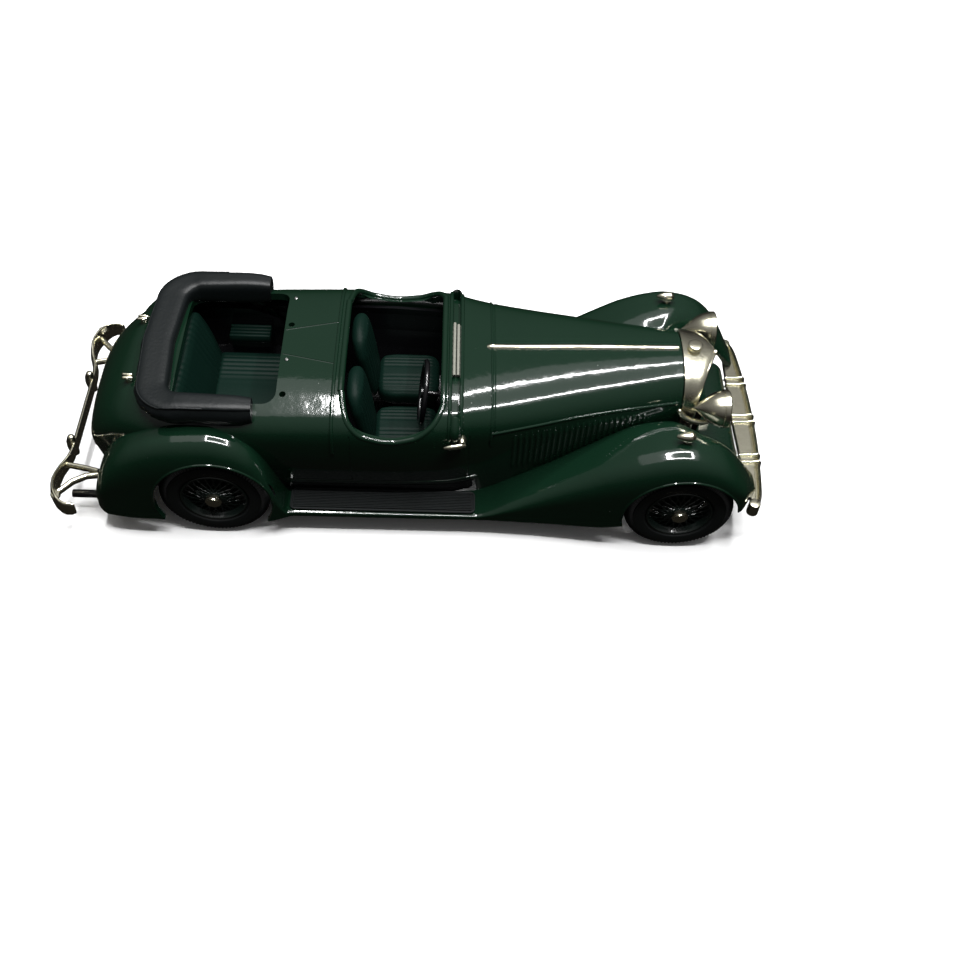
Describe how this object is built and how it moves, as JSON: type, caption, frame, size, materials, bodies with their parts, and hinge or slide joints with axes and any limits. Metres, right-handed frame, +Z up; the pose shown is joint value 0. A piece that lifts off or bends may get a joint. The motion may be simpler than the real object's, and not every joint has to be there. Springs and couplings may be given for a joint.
{
  "type": "diecast collector car",
  "caption": "Small diecast model of a long open touring car with cockpits, folded hood, running boards, wire wheels on turning axles, bumpers and headlamps.",
  "frame": {"origin": "centre of the bounding box's underside, on the surface the tyres stand on", "axes": "+X forward along the car, +Y to the car's left, +Z up"},
  "size_m": [0.114, 0.0418, 0.027],
  "materials": {
    "green_paint": "glossy",
    "black_plastic": "satin",
    "seat_green": "satin",
    "hood_charcoal": "satin",
    "trim_nickel": "polished",
    "steel": "satin",
    "pale_plastic": "satin",
    "clear_lens": "clear",
    "tyre": "matte",
    "wheel_green": "glossy"
  },
  "bodies": {
    "car": {"body_shell": "green_paint", "wing_and_board_right": "green_paint", "wing_and_board_left": "green_paint", "front_apron": "green_paint", "baseplate": "black_plastic", "base_screws": "steel", "interior_tub": "black_plastic", "dashboard": "black_plastic", "steering_column": "black_plastic", "steering_wheel": "black_plastic", "front_seat_right": "seat_green", "front_seat_left": "seat_green", "rear_seat": "seat_green", "armrest_right": "seat_green", "armrest_left": "seat_green", "folded_hood": "hood_charcoal", "hood_studs": "trim_nickel", "windscreen_stub": "pale_plastic", "bonnet_strip": "trim_nickel", "door_handles": "trim_nickel", "radiator_shell": "trim_nickel", "radiator_grille": "black_plastic", "radiator_cap": "trim_nickel", "headlamp_right": "trim_nickel", "headlamp_left": "trim_nickel", "lens_right": "clear_lens", "lens_left": "clear_lens", "lamp_stays": "trim_nickel", "sidelights": "trim_nickel", "board_mat_right": "hood_charcoal", "board_mat_left": "hood_charcoal", "front_bumper": "trim_nickel", "front_bumper_irons": "trim_nickel", "rear_bumper": "trim_nickel", "rear_bumper_irons": "trim_nickel", "exhaust_pipe": "black_plastic"},
    "front_axle_assembly": {"front_axle": "steel", "tyre_front_right": "tyre", "tyre_front_left": "tyre", "wire_wheel_front_right": "wheel_green", "wire_wheel_front_left": "wheel_green", "hub_cap_front_right": "trim_nickel", "hub_cap_front_left": "trim_nickel"},
    "rear_axle_assembly": {"rear_axle": "steel", "tyre_rear_right": "tyre", "tyre_rear_left": "tyre", "wire_wheel_rear_right": "wheel_green", "wire_wheel_rear_left": "wheel_green", "hub_cap_rear_right": "trim_nickel", "hub_cap_rear_left": "trim_nickel"}
  },
  "joints": [
    {"name": "front_axle_roll", "type": "hinge", "parent": "car", "child": "front_axle_assembly", "pos_m": [0.0422, 0, 0.00865], "axis": [0, 1, 0], "continuous": true},
    {"name": "rear_axle_roll", "type": "hinge", "parent": "car", "child": "rear_axle_assembly", "pos_m": [-0.031, 0, 0.00865], "axis": [0, 1, 0], "continuous": true}
  ]
}
